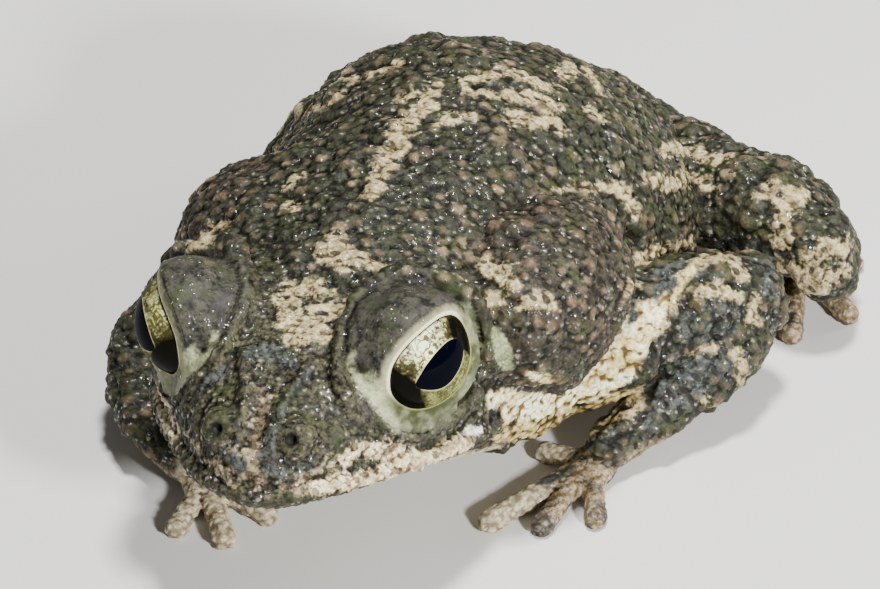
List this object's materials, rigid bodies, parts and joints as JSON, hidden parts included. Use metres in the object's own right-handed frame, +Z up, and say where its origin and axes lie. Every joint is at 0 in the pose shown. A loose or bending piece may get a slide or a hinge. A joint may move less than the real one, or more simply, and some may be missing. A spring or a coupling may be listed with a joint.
{
  "type": "oak toad",
  "caption": "Life-size oak toad crouching on four feet with its head turned a little, warty back, large glands and gold eyes.",
  "frame": {"origin": "on the floor, under the middle of the toad's box", "axes": "+Z up, -Y the way the toad faces, +X its left side"},
  "size_m": [0.025, 0.0292, 0.012],
  "materials": {
    "skin_dark": "damp granular skin, dark grey-green with cream blotches",
    "skin_pale": "granular pale cream skin of chin and throat",
    "skin_limb": "granular skin, cream with dark bands",
    "eye": "wet gloss, pale gold iris with a black pupil"
  },
  "bodies": {
    "root": {"torso": "skin_dark", "head": "skin_dark", "lower_jaw": "skin_pale", "upper_arm_left": "skin_limb", "forearm_left": "skin_limb", "hand_left": "skin_limb", "thigh_left": "skin_limb", "shank_left": "skin_limb", "foot_left": "skin_limb", "upper_arm_right": "skin_limb", "forearm_right": "skin_limb", "hand_right": "skin_limb", "thigh_right": "skin_limb", "shank_right": "skin_limb", "foot_right": "skin_limb", "eye_left": "eye", "eye_right": "eye"}
  },
  "joints": []
}
